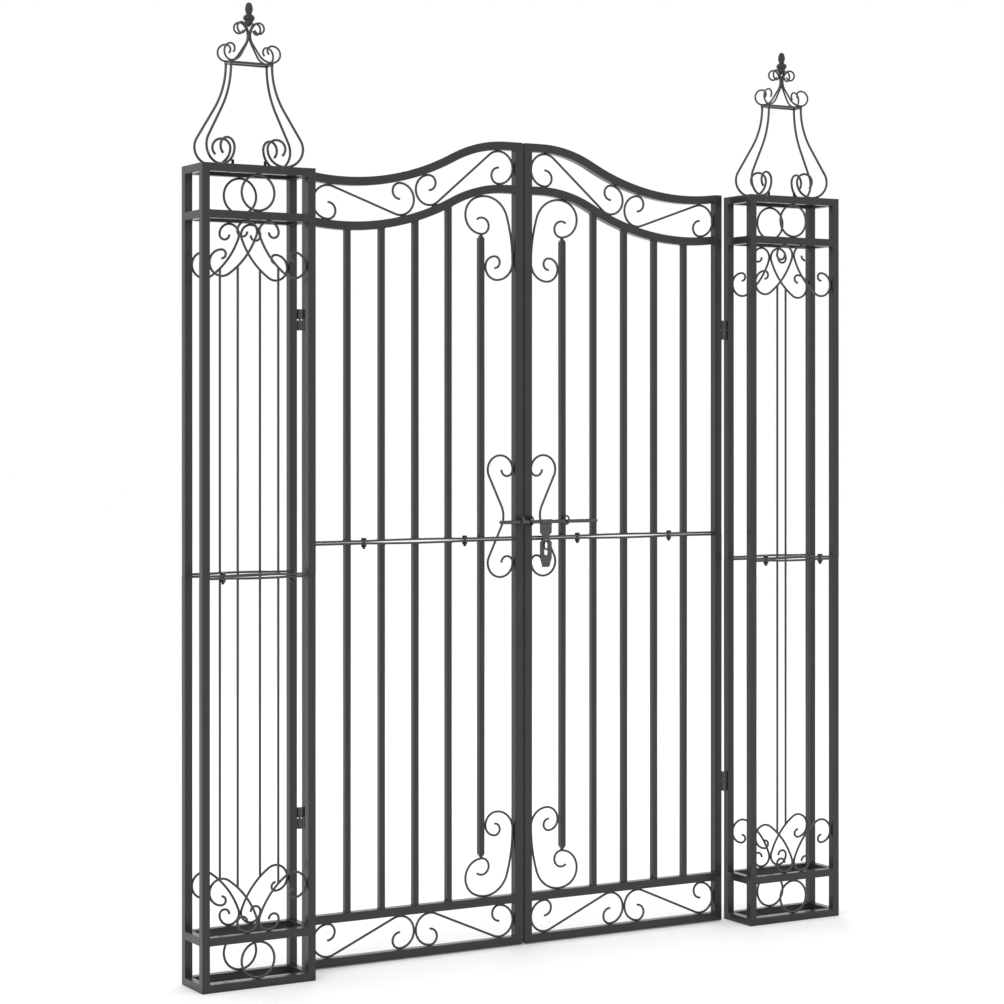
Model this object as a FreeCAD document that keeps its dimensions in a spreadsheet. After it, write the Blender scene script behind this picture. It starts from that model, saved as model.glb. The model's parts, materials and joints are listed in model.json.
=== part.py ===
import FreeCAD, Part
import math
import os
import re

# Wrought-style double garden gate, millimetres.
# X runs along the gate with 0 midway between the two leaves, +Y points to the back,
# Z is up from the ground. Both pillars and both leaves are mirror images in X.

os.makedirs("parts", exist_ok=True)
doc = FreeCAD.newDocument("garden_gate")
sheet = doc.addObject("Spreadsheet::Sheet", "Sizes")

SIZES = {
    # pillars
    "gate_width": 1920,          # outside of one pillar to outside of the other
    "pillar_height": 2000,
    "pillar_width": 302,
    "pillar_depth": 127,
    "post_size": 20,             # square tube of posts and pillar rails
    "post_wall": 1.2,
    "cap_thickness": 2,          # plates that close the tube ends
    "ring_bay": 93,              # clear height between a pillar's paired rails
    "pillar_split": 1000,        # height where the upper half bolts onto the lower
    "flat_thickness": 5,         # flat bars of all bolted joints
    "flat_width": 20,
    "seam": 1.5,                 # between the two flats of a joint
    "flat_bow": 1.5,             # how far each flat bows away between its bolts
    "pillar_bolt_offset": 93,    # from the middle of the pillar
    "strap_width": 25,           # cross strap that carries the finial
    "infill_rod": 6,
    "infill_offset": 54,         # thin rods, each side of the pillar's middle
    # scroll work
    "scroll_wire": 6,
    "weld_bite": 0.15,           # how far a scroll sinks into what it is welded to
    "head_curl": 26,             # pillar ornament, radius of the curl under the rail
    "tail_curl": 32,             # pillar ornament, radius of the curl beside the post
    "tail_drop": 107,            # from the rail down to the middle of the tail curl
    "ornament_bow": 200,         # radius of the long bow between the two curls
    "corner_curl": 48.5,         # leaf corner scroll, from its pointed-bar end
    "corner_crown": 70,
    "corner_offset": 109.4,      # from the meeting edge of the leaf to the crown's middle
    "corner_lean": 65,           # degrees, where the curl meets the crown
    "corner_spread": 119.5,      # from that curl's middle down to the curl by the stile
    "stile_curl": 48,
    "lyre_curl": 37.5,
    "lyre_height": 319,
    "lyre_level": 1129.5,        # height of the lyre's waist
    "lyre_waist": 62,            # radius of the waist
    "lyre_reach": 30.5,          # the waist's distance from the meeting stile
    # finials
    "finial_height": 405,        # from the pillar's top to the tip
    "finial_angle": 16,          # degrees between a leg's plane and the gate's plane
    "leg_wire": 6.3,
    "leg_curl": 44,
    "leg_spread": 134,           # widest point of a leg from the finial's axis
    "neck_spread": 57,           # a leg's top from the axis
    "neck_level": 250,           # underside of the small frame above the pillar's top
    "neck_bow": 220,
    "neck_bar": 6,
    "crown_wire": 5,
    "crown_neck": 2.6,           # the crown wires' distance from the axis where they meet
    "crown_neck_level": 323,
    "crown_curl": 20.5,
    "crown_sweep": 37,
    "crown_spread": 57,
    "crown_bend": 40,            # radius of the wire as it leaves the meeting point
    "crown_top_curl": 13.5,
    "crown_top_reach": 20.5,     # that curl's middle, out from and above the meeting point
    "crown_top_rise": 18,
    "spire_width": 29,
    "finial_bolt_offset": 43.5,
    # leaves
    "centre_gap": 7,
    "hinge_gap": 22.5,
    "ground_gap": 3,
    "leaf_tube": 22,
    "leaf_wall": 1.2,
    "lower_rail_top": 135,
    "crest_level": 2111.5,       # top edge of the arched rail by the meeting stile
    "hollow_level": 1996.5,      # lowest point of that edge, near the hinges
    "crest_run": 54,             # where the crest's curve begins, from the gate's middle
    "hollow_run": 520,
    "crest_radius": 350,
    "arch_spacing": 113,         # from the arched top rail down to its twin
    "bar_size": 15,
    "bar_wall": 1,
    "point_offset": 121,         # from the leaf's meeting edge to its pointed bar
    "point_length": 10,
    "point_size": 5,
    "leaf_split": 1070.5,        # height where the leaf's halves bolt together
    "leaf_bolt_offset": 147,     # from the leaf's middle
    # fasteners
    "bolt_size": 8,
    "bolt_clearance": 0.6,
    "thread_clearance": 0.1,
    "hex_width": 13,
    "head_thickness": 5.3,
    "nut_thickness": 6.5,
    "bolt_tail": 5,
    "finial_bolt_tail": 11,
    # hinges
    "hinge_upper": 1631.5,
    "hinge_lower": 384.5,
    "hinge_length": 53,
    "hinge_slot": 3.5,           # open slot between the two knuckles
    "knuckle_width": 18,
    "pin_size": 6,
    "pin_fit": 0.05,             # radial running clearance
    "pin_land": 4,               # closed end of each knuckle
    "lug_width": 8,
    # latch
    "bolt_rod": 10,
    "rod_level": 1114,
    "rod_reach": 80,             # past the middle, through the keeper
    "rod_length": 298,
    "ring_wire": 5,
    "ring_hole": 17,
    "rod_play": 0.3,             # under the rod in its rings
    "hasp_near": 42,             # from the gate's middle
    "hasp_width": 35,
    "hasp_neck": 20,
    "hasp_thickness": 3,
    "hasp_shoulder": 33,         # from the rod down to the neck
    "hasp_neck_end": 51,
    "hasp_taper": 96,
    "hasp_length": 120,
    "sleeve_wall": 1.5,
    "slot_width": 11,
    "slot_start": 47,
    "slot_end": 89,
    "staple_offset": 2,          # its ring's middle in front of the rod
    "staple_lug": 8,
    "staple_lug_grip": 6,        # how far its lug reaches back under the flat
}

for row, (alias, size) in enumerate(SIZES.items(), start=1):
    sheet.set("A%d" % row, alias)
    sheet.set("B%d" % row, str(size))
    sheet.setAlias("B%d" % row, alias)
doc.recompute()


def val(alias):
    """Current value of one size, in millimetres or degrees."""
    return float(sheet.get(alias))


def bound(text):
    """An expression on plain size names, pointed at the sheet."""
    return re.sub(r"[a-z]+(?:_[a-z]+)+|seam", lambda word: "Sizes." + word.group(), text)


nodes = {}
SIDES = {"left": -1, "right": 1}

HALF_POST = "post_size/2"
BACK = "pillar_depth/2"
PILLAR_NEAR = "gate_width/2 - pillar_width"
PILLAR_FAR = "gate_width/2"
PILLAR_MIDDLE = "gate_width/2 - pillar_width/2"
LEAF_NEAR = "centre_gap/2"
LEAF_FAR = "(gate_width/2 - pillar_width - hinge_gap)"
LEAF_MIDDLE = "(centre_gap/4 + gate_width/4 - pillar_width/2 - hinge_gap/2)"
LEAF_Y = "(pillar_depth/2 - leaf_tube/2)"
HINGE_X = "(gate_width/2 - pillar_width - hinge_gap/2)"
ROD_Y = "(pillar_depth/2 - leaf_tube - ring_hole/2 - ring_wire)"


# ---------------------------------------------------------------- document helpers

def set_all(item, bindings):
    for prop, text in bindings.items():
        item.setExpression(prop, bound(text))
    return item


def place(item, x, y, z):
    for axis, text in (("x", x), ("y", y), ("z", z)):
        item.setExpression("Placement.Base." + axis, bound(text))
    return item


def box(side, near, far, y, z):
    """Box between two distances from the gate's middle; y and z are (low, high)."""
    item = doc.addObject("Part::Box", "block")
    set_all(item, {"Length": "(%s) - (%s)" % (far, near),
                   "Width": "(%s) - (%s)" % (y[1], y[0]),
                   "Height": "(%s) - (%s)" % (z[1], z[0])})
    start = near if side > 0 else "-(%s)" % far
    return place(item, start, y[0], z[0])


def inset(span, wall):
    return "(%s) + %s" % (span[0], wall), "(%s) - %s" % (span[1], wall)


def cut(base, tool):
    item = doc.addObject("Part::Cut", "cut")
    item.Base = base
    item.Tool = tool
    return item


def fuse(*pieces):
    item = doc.addObject("Part::MultiFuse", "fuse")
    item.Shapes = list(pieces)
    return item


def tube(side, along, x, y, z, wall):
    """Square tube with open ends, running along x, y or z."""
    inner = {"x": (x, inset(y, wall), inset(z, wall)),
             "y": (inset(x, wall), y, inset(z, wall)),
             "z": (inset(x, wall), inset(y, wall), z)}[along]
    return cut(box(side, x[0], x[1], y, z), box(side, inner[0][0], inner[0][1], inner[1], inner[2]))


def cylinder(x, y, z, radius, height, along="z"):
    item = doc.addObject("Part::Cylinder", "round")
    set_all(item, {"Radius": radius, "Height": height})
    if along == "x":
        item.Placement.Rotation = FreeCAD.Rotation(FreeCAD.Vector(0, 1, 0), 90)
    return place(item, x, y, z)


def hexagon(x, y, z, height):
    item = doc.addObject("Part::Prism", "hex")
    item.Polygon = 6
    set_all(item, {"Circumradius": "hex_width/sqrt(3)", "Height": height})
    return place(item, x, y, z)


def torus(x, y, z, ring, wire, facing):
    """Ring of wire whose axis is the vector facing."""
    item = doc.addObject("Part::Torus", "ring")
    set_all(item, {"Radius1": ring, "Radius2": wire})
    item.Placement.Rotation = FreeCAD.Rotation(FreeCAD.Vector(0, 0, 1), FreeCAD.Vector(*facing))
    return place(item, x, y, z)


def solid(shape, name="formed"):
    """A formed piece that no primitive gives: bent wire, arched rail, cut bar."""
    item = doc.addObject("Part::Feature", name)
    item.Shape = shape
    return item


def node(name, pieces):
    """One named sub-part: its separate solids grouped under its label."""
    group = doc.addObject("Part::Compound", name)
    group.Links = pieces
    group.Label = name
    group.Placement = FreeCAD.Placement()
    nodes[name] = group


def signed(side, distance):
    return distance if side > 0 else "-(%s)" % distance


# ---------------------------------------------------------------- bent wire

CLOCKWISE = -1
COUNTER = 1


def nested(circle, radius, angle):
    """The circle of another radius that touches this one from inside at an angle."""
    x, z, old, turn = circle
    shift = old - radius
    return (x + shift * math.cos(math.radians(angle)),
            z + shift * math.sin(math.radians(angle)), radius, turn)


def around(first, second, radius, side):
    """The large circle that encloses two others, its middle on the given side."""
    a, b = radius - first[2], radius - second[2]
    dx, dz = second[0] - first[0], second[1] - first[1]
    gap = math.hypot(dx, dz)
    along = (a * a - b * b + gap * gap) / (2 * gap)
    off = side * math.sqrt(a * a - along * along)
    return (first[0] + (along * dx - off * dz) / gap,
            first[1] + (along * dz + off * dx) / gap, radius, first[3])


def on_circle(circle, angle):
    return circle[0] + circle[2] * math.cos(angle), circle[1] + circle[2] * math.sin(angle)


def leave_and_arrive(first, second):
    """Angles at which the wire leaves one circle and arrives on the next."""
    dx, dz = second[0] - first[0], second[1] - first[1]
    gap = math.hypot(dx, dz)
    lean = (first[2] * first[3] - second[2] * second[3]) / gap
    if abs(lean) > 0.9999999:
        lean = math.copysign(1, lean)
    heading = math.atan2(dz, dx) + math.asin(lean)
    outward = heading - math.pi / 2
    return tuple(outward if circle[3] > 0 else outward + math.pi for circle in (first, second))


def wire_path(circles, start, end):
    """Points of a wire that runs round the circles in turn, joined by their tangents."""
    arrive = [math.radians(start)]
    leave = []
    for first, second in zip(circles, circles[1:]):
        out, into = leave_and_arrive(first, second)
        leave.append(out)
        arrive.append(into)
    leave.append(math.radians(end))
    runs = []
    last = None
    for circle, a, b in zip(circles, arrive, leave):
        sweep = (b - a) * circle[3] % (2 * math.pi) * circle[3]
        corners = [on_circle(circle, a + sweep * share) for share in (0, 0.5, 1)]
        if last and math.dist(last, corners[0]) > 0.01:
            runs.append((last, corners[0]))
        elif last:
            corners[0] = last
        runs.append(tuple(corners))
        last = corners[2]
    return runs


def bend(runs, wire, to_space):
    """Round wire swept along the runs; to_space turns flat points into space."""
    edges = []
    for run in runs:
        spots = [to_space(*point) for point in run]
        edges.append(Part.LineSegment(*spots).toShape() if len(spots) == 2 else Part.Arc(*spots).toShape())
    path = Part.Wire(edges)
    first = edges[0]
    begin = first.firstVertex().Point
    if begin.distanceToPoint(to_space(*runs[0][0])) > 0.001:
        begin = first.lastVertex().Point
    along = first.tangentAt(first.FirstParameter)
    section = Part.Wire(Part.Circle(begin, along, wire / 2).toShape())
    sweep = Part.BRepOffsetAPI.MakePipeShell(path)
    sweep.add(section)
    sweep.build()
    sweep.makeSolid()
    return sweep.shape()


def s_scroll(first, second, rising):
    """S-shaped scroll between two curls; rising leaves the first curl from below."""
    turn = COUNTER if rising else CLOCKWISE
    top = 90 if rising else -90
    start = (first[0], first[1], first[2], turn)
    finish = (second[0], second[1], second[2], -turn)
    eyes = nested(start, start[2] / 2, top), nested(finish, finish[2] / 2, -top)
    return wire_path([eyes[0], start, finish, eyes[1]], -top, top)


# ---------------------------------------------------------------- pillars

def pillar_posts(label, side):
    height = {"lower": ("cap_thickness", "pillar_split"),
              "upper": ("pillar_split", "pillar_height - cap_thickness")}
    rows = {"front": ("-" + BACK, "-%s + post_size" % BACK), "back": (BACK + " - post_size", BACK)}
    spans = {"outer": (PILLAR_FAR + " - post_size", PILLAR_FAR),
             "inner": (PILLAR_NEAR, PILLAR_NEAR + " + post_size")}
    for place_name, x in spans.items():
        pieces = []
        for y in rows.values():
            for z in height.values():
                pieces.append(tube(side, "z", x, y, z, "post_wall"))
            for z in (("0", "cap_thickness"), ("pillar_height - cap_thickness", "pillar_height")):
                pieces.append(box(side, x[0], x[1], y, z))
        node("%s_pillar_%s_posts" % (label, place_name), pieces)


def pillar_rails(label, side):
    """Two levels of rail at the foot and two at the head, on all four sides."""
    long_x = (PILLAR_NEAR + " + post_size", PILLAR_FAR + " - post_size")
    side_y = ("-%s + post_size" % BACK, BACK + " - post_size")
    rows = (("-" + BACK, "-%s + post_size" % BACK), (BACK + " - post_size", BACK))
    ends = ((PILLAR_NEAR, PILLAR_NEAR + " + post_size"), (PILLAR_FAR + " - post_size", PILLAR_FAR))
    levels = {"base": ("0", "post_size + ring_bay"),
              "head": ("pillar_height - post_size", "pillar_height - 2*post_size - ring_bay")}
    for name, bottoms in levels.items():
        pieces = []
        for bottom in bottoms:
            z = (bottom, bottom + " + post_size")
            pieces += [tube(side, "x", long_x, y, z, "post_wall") for y in rows]
            pieces += [tube(side, "y", x, side_y, z, "post_wall") for x in ends]
        if name == "head":
            pieces.append(finial_strap(side, long_x))
        node("%s_pillar_%s_rails" % (label, name), pieces)


def finial_strap(side, long_x):
    """Flat along the middle of the open top, sunk by the finial's own base bars."""
    strap = box(side, long_x[0], long_x[1], ("-strap_width/2", "strap_width/2"),
                ("pillar_height - 2*flat_thickness", "pillar_height - flat_thickness"))
    for way in ("-", "+"):
        x = signed(side, "(%s %s finial_bolt_offset)" % (PILLAR_MIDDLE, way))
        strap = cut(strap, cylinder(x, "0", "pillar_height - 3*flat_thickness",
                                    "bolt_size/2 + bolt_clearance/2", "3*flat_thickness"))
    return strap


def flat_line(side, near, far, reach, z, bow):
    """One long edge of a joint flat: straight at its ends, bowed between the bolts."""
    middle = (near + far) / 2
    marks = [(near, z), (middle - reach, z), (middle, z + bow), (middle + reach, z), (far, z)]
    spots = [FreeCAD.Vector(side * distance, 0, height) for distance, height in marks]
    return [Part.LineSegment(spots[0], spots[1]).toShape(), Part.Arc(*spots[1:4]).toShape(),
            Part.LineSegment(spots[3], spots[4]).toShape()], spots[0], spots[4]


def flat_pair(side, near, far, level, y, offset, bolted=True):
    """The two flats that meet at a split, upper one first, bowed a little apart."""
    reach = offset - val("hex_width")
    width = val("flat_width")
    hole = val("bolt_size") / 2 + val("bolt_clearance") / 2
    pieces = []
    for up in (1, -1):
        face_z = level + up * val("seam") / 2
        inner, near_in, far_in = flat_line(side, near, far, reach, face_z, up * val("flat_bow"))
        outer, near_out, far_out = flat_line(side, near, far, reach, face_z + up * val("flat_thickness"),
                                             up * val("flat_bow"))
        closing = [Part.LineSegment(near_in, near_out).toShape(), Part.LineSegment(far_in, far_out).toShape()]
        outline = Part.Wire(Part.__sortEdges__(inner + outer + closing))
        flat = Part.Face(outline).extrude(FreeCAD.Vector(0, width, 0))
        flat.translate(FreeCAD.Vector(0, y - width / 2, 0))
        for way in (-1, 1):
            foot = FreeCAD.Vector(side * ((near + far) / 2 + way * offset), y,
                                  level - 4 * val("flat_thickness"))
            if bolted:
                flat = flat.cut(Part.makeCylinder(hole, 8 * val("flat_thickness"), foot))
        pieces.append(solid(flat))
    return pieces


def pillar_joint(label, side):
    """Paired flats where the pillar's halves meet: bolted in front, plain at the back."""
    near = val("gate_width") / 2 - val("pillar_width") + val("post_size")
    far = val("gate_width") / 2 - val("post_size")
    pairs = [flat_pair(side, near, far, val("pillar_split"), y, val("pillar_bolt_offset"), y < 0)
             for _, y in panel_rows()]
    node("%s_pillar_joint_flats" % label, pairs[0] + pairs[1])
    return pairs


def panel_rows():
    """Middle of the front and back panels, as expressions and as numbers."""
    offset = val("pillar_depth") / 2 - val("post_size") / 2
    return (("(-%s + %s)" % (BACK, HALF_POST), -offset), ("(%s - %s)" % (BACK, HALF_POST), offset))


def pillar_rings(label, side):
    x = signed(side, "(%s)" % PILLAR_MIDDLE)
    pieces = []
    for y, _ in panel_rows():
        for z in ("post_size + ring_bay/2", "pillar_height - post_size - ring_bay/2"):
            pieces.append(torus(x, y, z, "ring_bay/2 + weld_bite/2 - scroll_wire/2",
                                "scroll_wire/2", (0, 1, 0)))
    node("%s_pillar_rings" % label, pieces)


def ornament_circles():
    """Head curl against the middle and rail, long bow, tail curl against the post."""
    reach = val("scroll_wire") / 2 - val("weld_bite")
    top = val("pillar_height") - 2 * val("post_size") - val("ring_bay")
    edge = val("pillar_width") / 2 - val("post_size")
    head = (reach + val("head_curl"), top - reach - val("head_curl"), val("head_curl"), COUNTER)
    tail = (edge - reach - val("tail_curl"), top - val("tail_drop"), val("tail_curl"), COUNTER)
    bow = around(head, tail, val("ornament_bow"), 1)
    return [nested(head, val("head_curl") / 2, 0), head, bow, tail,
            nested(tail, val("tail_curl") / 3, 90)]


def pillar_scrolls(label, side):
    """Back-to-back scrolls under the head rails, and the same upside down at the foot."""
    middle = side * (val("gate_width") / 2 - val("pillar_width") / 2)
    runs = wire_path(ornament_circles(), 180, -90)
    head = []
    base = []
    for _, y in panel_rows():
        for way in (-1, 1):
            head.append(solid(bend(runs, val("scroll_wire"),
                                   lambda e, z: FreeCAD.Vector(middle + way * e, y, z))))
            base.append(solid(bend(runs, val("scroll_wire"), lambda e, z: FreeCAD.Vector(
                middle + way * e, y, val("pillar_height") - z))))
    node("%s_pillar_head_scrolls" % label, head)
    node("%s_pillar_base_scrolls" % label, base)
    return head, base


def pillar_rods(label, side, flats, head, base):
    """Thin rods from the joint flats to the scrolls, their ends shaped to both."""
    bow = ornament_circles()[2]
    drop = math.sqrt(bow[2] ** 2 - (bow[0] - val("infill_offset")) ** 2)
    length = bow[1] - drop - val("pillar_split")
    middle = side * (val("gate_width") / 2 - val("pillar_width") / 2)
    pieces = []
    for row, (_, y) in enumerate(panel_rows()):
        for column, way in enumerate((-1, 1)):
            x = middle + way * val("infill_offset")
            for up, scrolls, flat in ((1, head, flats[row][0]), (-1, base, flats[row][1])):
                rod = Part.makeCylinder(val("infill_rod") / 2, length, FreeCAD.Vector(x, y, val("pillar_split")),
                                        FreeCAD.Vector(0, 0, up))
                rod = rod.cut(scrolls[2 * row + column].Shape).cut(flat.Shape)
                pieces.append(solid(longest(rod)))
    node("%s_pillar_rods" % label, pieces)


# ---------------------------------------------------------------- finials

def leg_circles():
    reach = val("leg_wire") / 2 - val("weld_bite")
    top = val("pillar_height")
    curl = (val("leg_spread") - val("leg_curl"), top + reach + val("leg_curl"), val("leg_curl"), COUNTER)
    neck = (val("neck_spread") + val("neck_bow"), top + val("neck_level"), val("neck_bow"), CLOCKWISE)
    return [nested(curl, val("leg_curl") / 2, 180), curl, neck]


def crown_direction():
    """Plane of a crown scroll: from where the wires meet to a leg's own plane."""
    spread = math.radians(val("finial_angle"))
    across = val("crown_spread") * math.cos(spread) - val("crown_neck")
    back = val("crown_spread") * math.sin(spread) - val("crown_neck")
    return math.atan2(back, across), math.hypot(across, back)


def crown_circles():
    """Outer curl on the small frame, sweep to the meeting point, bend and top curl."""
    top = val("pillar_height")
    reach = val("crown_wire") / 2 - val("weld_bite")
    floor = top + val("neck_level") + val("neck_bar") + reach
    level = top + val("crown_neck_level")
    curl = (crown_direction()[1], floor + val("crown_curl"), val("crown_curl"), CLOCKWISE)
    tip = (val("crown_top_reach"), level + val("crown_top_rise"), val("crown_top_curl"), CLOCKWISE)
    bend_circle = (val("crown_bend"), level, val("crown_bend"), CLOCKWISE)
    turn = math.degrees(math.atan2(tip[1] - level, tip[0] - val("crown_bend")))
    tip = nested(bend_circle, val("crown_top_curl"), turn)
    return [nested(curl, 0.56 * val("crown_curl"), 90), curl, nested(curl, val("crown_sweep"), -90),
            bend_circle, tip, nested(tip, 0.8 * val("crown_top_curl"), -60)]


def finial(label, side):
    """Cage of four legs, a small frame, four crown scrolls and a turned spire."""
    middle = side * (val("gate_width") / 2 - val("pillar_width") / 2)
    angle = math.radians(val("finial_angle"))
    turn = crown_direction()[0]
    neck = val("crown_neck")
    legs = []
    crown = []
    for sx in (-1, 1):
        for sy in (-1, 1):
            legs.append(solid(bend(wire_path(leg_circles(), -50, 180), val("leg_wire"), lambda r, z: (
                FreeCAD.Vector(middle + sx * r * math.cos(angle), sy * r * math.sin(angle), z)))))
            crown.append(solid(bend(wire_path(crown_circles(), 232, 190), val("crown_wire"), lambda r, z: (
                FreeCAD.Vector(middle + sx * (neck + r * math.cos(turn)), sy * (neck + r * math.sin(turn)), z)))))
    node("%s_finial_cage" % label, legs + finial_frames(side))
    node("%s_finial_crown" % label, crown)
    finial_spire(label, side)


def finial_frames(side):
    """Base bars let into the pillar's open top, and the small frame round the neck."""
    foot_x = "(leg_spread - leg_curl)*cos(finial_angle)"
    neck_x = "(neck_spread*cos(finial_angle))"
    neck_y = "(neck_spread*sin(finial_angle))"
    base_z = ("pillar_height - flat_thickness", "pillar_height")
    pieces = []
    for way in ("-", "+"):
        x = "(%s %s %s)" % (PILLAR_MIDDLE, way, foot_x)
        pieces.append(box(side, x + " - flat_width/2", x + " + flat_width/2",
                          ("-%s + post_size" % BACK, BACK + " - post_size"), base_z))
    spine = box(side, "%s - %s + flat_width/2" % (PILLAR_MIDDLE, foot_x),
                "%s + %s - flat_width/2" % (PILLAR_MIDDLE, foot_x),
                ("-strap_width/2", "strap_width/2"), base_z)
    for way in ("-", "+"):
        x = signed(side, "(%s %s finial_bolt_offset)" % (PILLAR_MIDDLE, way))
        spine = cut(spine, cylinder(x, "0", "pillar_height - 2*flat_thickness",
                                    "bolt_size/2 + bolt_clearance/2", "3*flat_thickness"))
    pieces.append(spine)
    neck_z = ("pillar_height + neck_level", "pillar_height + neck_level + neck_bar")
    for way in ("-", "+"):
        y = "(%s%s)" % (way, neck_y)
        pieces.append(box(side, "%s - %s - neck_bar/2" % (PILLAR_MIDDLE, neck_x),
                          "%s + %s + neck_bar/2" % (PILLAR_MIDDLE, neck_x),
                          (y + " - neck_bar/2", y + " + neck_bar/2"), neck_z))
        x = "(%s %s %s)" % (PILLAR_MIDDLE, way, neck_x)
        pieces.append(box(side, x + " - neck_bar/2", x + " + neck_bar/2",
                          ("-%s + neck_bar/2" % neck_y, neck_y + " - neck_bar/2"), neck_z))
    return pieces


def finial_spire(label, side):
    """Turned tip: a cone between the crown wires, collar, waist and domed cap."""
    x = side * (val("gate_width") / 2 - val("pillar_width") / 2)
    tip = val("pillar_height") + val("finial_height")
    ball = val("spire_width") / 2
    dome = 0.55 * ball
    foot = val("pillar_height") + val("crown_neck_level") + 1.5 * ball
    outline = [(0, foot), (0.15 * ball, foot), (0.45 * ball, tip - 3.75 * ball), (0.7 * ball, tip - 3.7 * ball),
               (0.7 * ball, tip - 3.15 * ball)]
    swell = [outline[-1], (ball, tip - 2.7 * ball), (0.75 * ball, tip - 2.2 * ball)]
    waist = [swell[2], (0.5 * ball, tip - 2.05 * ball), (0.5 * ball, tip - 1.8 * ball)]
    cap = [waist[2], (0.68 * ball, tip - 1.2 * ball), (dome, tip - dome)]
    crown = [cap[2], (dome * math.sqrt(0.5), tip - dome + dome * math.sqrt(0.5)), (0, tip)]
    runs = list(zip(outline, outline[1:])) + list(zip(waist, waist[1:])) + [(crown[2], outline[0])]
    edges = [Part.LineSegment(*[at(x, *point) for point in run]).toShape() for run in runs]
    edges += [Part.Arc(*[at(x, *point) for point in arc]).toShape() for arc in (swell, cap, crown)]
    face = Part.Face(Part.Wire(Part.__sortEdges__(edges)))
    turned = face.revolve(FreeCAD.Vector(x, 0, 0), FreeCAD.Vector(0, 0, 1), 360)
    node("%s_finial_spire" % label, [solid(turned)])


def at(x, radius, z):
    return FreeCAD.Vector(x + radius, 0, z)


# ---------------------------------------------------------------- fasteners

def bolt(x, y, seat, grip, tail, head_up=True):
    """Hex bolt and nut; seat is the level under the head, grip what it clamps."""
    if head_up:
        head_z, nut_z = seat, "(%s) - (%s) - nut_thickness" % (seat, grip)
        shaft_z = "%s - (%s)" % (nut_z, tail)
    else:
        head_z, nut_z = "(%s) - head_thickness" % seat, "(%s) + (%s)" % (seat, grip)
        shaft_z = seat
    shaft = cylinder(x, y, shaft_z, "bolt_size/2", "(%s) + nut_thickness + (%s)" % (grip, tail))
    nut = cut(hexagon(x, y, nut_z, "nut_thickness"),
              cylinder(x, y, nut_z, "bolt_size/2 + thread_clearance/2", "nut_thickness"))
    return [fuse(shaft, hexagon(x, y, head_z, "head_thickness")), nut]


def pillar_bolts():
    """Joint bolts of both pillars' fronts, and the bolts that hold the finials, nuts on top."""
    joints = []
    finials = []
    for side in SIDES.values():
        for way in ("-", "+"):
            x = signed(side, "(%s %s pillar_bolt_offset)" % (PILLAR_MIDDLE, way))
            joints += bolt(x, panel_rows()[0][0], "pillar_split + seam/2 + flat_thickness",
                           "2*flat_thickness + seam", "bolt_tail")
            x = signed(side, "(%s %s finial_bolt_offset)" % (PILLAR_MIDDLE, way))
            finials += bolt(x, "0", "pillar_height - 2*flat_thickness", "2*flat_thickness",
                            "finial_bolt_tail", head_up=False)
    node("pillar_joint_bolts", joints)
    node("finial_bolts", finials)


# ---------------------------------------------------------------- leaves

def leaf_number(text):
    """The same expressions that place the leaf, worked out as a number."""
    names = {alias: val(alias) for alias in SIZES}
    total = {LEAF_NEAR: names["centre_gap"] / 2,
             LEAF_FAR: names["gate_width"] / 2 - names["pillar_width"] - names["hinge_gap"]}
    total[LEAF_MIDDLE] = (total[LEAF_NEAR] + total[LEAF_FAR]) / 2
    total[LEAF_Y] = names["pillar_depth"] / 2 - names["leaf_tube"] / 2
    return total[text]


def arch_circles(inside=0.0):
    """Crest and hollow of an arched rail's edge, set in from its top edge."""
    rise = val("crest_level") - val("hollow_level")
    run = val("hollow_run") - val("crest_run")
    both = (run * run + rise * rise) / (2 * rise)
    crest = (val("crest_run"), val("crest_level") - val("crest_radius"), val("crest_radius") - inside)
    hollow_radius = both - val("crest_radius")
    hollow = (val("hollow_run"), val("hollow_level") + hollow_radius, hollow_radius + inside)
    return crest, hollow


def arch_height(distance, inside=0.0):
    """Height of an arched edge at a distance from the gate's middle."""
    crest, hollow = arch_circles(inside)
    share = val("crest_radius") / (val("crest_radius") + arch_circles()[1][2])
    turn_over = crest[0] + share * (hollow[0] - crest[0])
    if distance <= crest[0]:
        return crest[1] + crest[2]
    if distance <= turn_over:
        return crest[1] + math.sqrt(crest[2] ** 2 - (distance - crest[0]) ** 2)
    return hollow[1] - math.sqrt(hollow[2] ** 2 - (distance - hollow[0]) ** 2)


def arch_tilt(distance):
    """Cosine of the rail's slope at a distance from the gate's middle."""
    step = 0.5
    slope = (arch_height(distance + step) - arch_height(distance - step)) / (2 * step)
    return 1 / math.hypot(1, slope)


def arch_edge(side, inside, drop, start, end):
    """Edges of one arched line: flat, crest and hollow, from near the middle outwards."""
    crest, hollow = arch_circles(inside)
    lean = math.atan2(hollow[1] - crest[1], hollow[0] - crest[0])
    last = math.acos((end - hollow[0]) / hollow[2])

    def spot(circle, angle):
        return FreeCAD.Vector(side * (circle[0] + circle[2] * math.cos(angle)), 0,
                              circle[1] + circle[2] * math.sin(angle) - drop)
    flat_end = spot(crest, math.pi / 2)
    flat_start = FreeCAD.Vector(side * start, 0, flat_end.z)
    back = lean + math.pi
    return [Part.LineSegment(flat_start, flat_end).toShape(),
            Part.Arc(flat_end, spot(crest, (math.pi / 2 + lean) / 2), spot(crest, lean)).toShape(),
            Part.Arc(spot(hollow, back), spot(hollow, (back + 2 * math.pi - last) / 2),
                     spot(hollow, 2 * math.pi - last)).toShape()]


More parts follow.
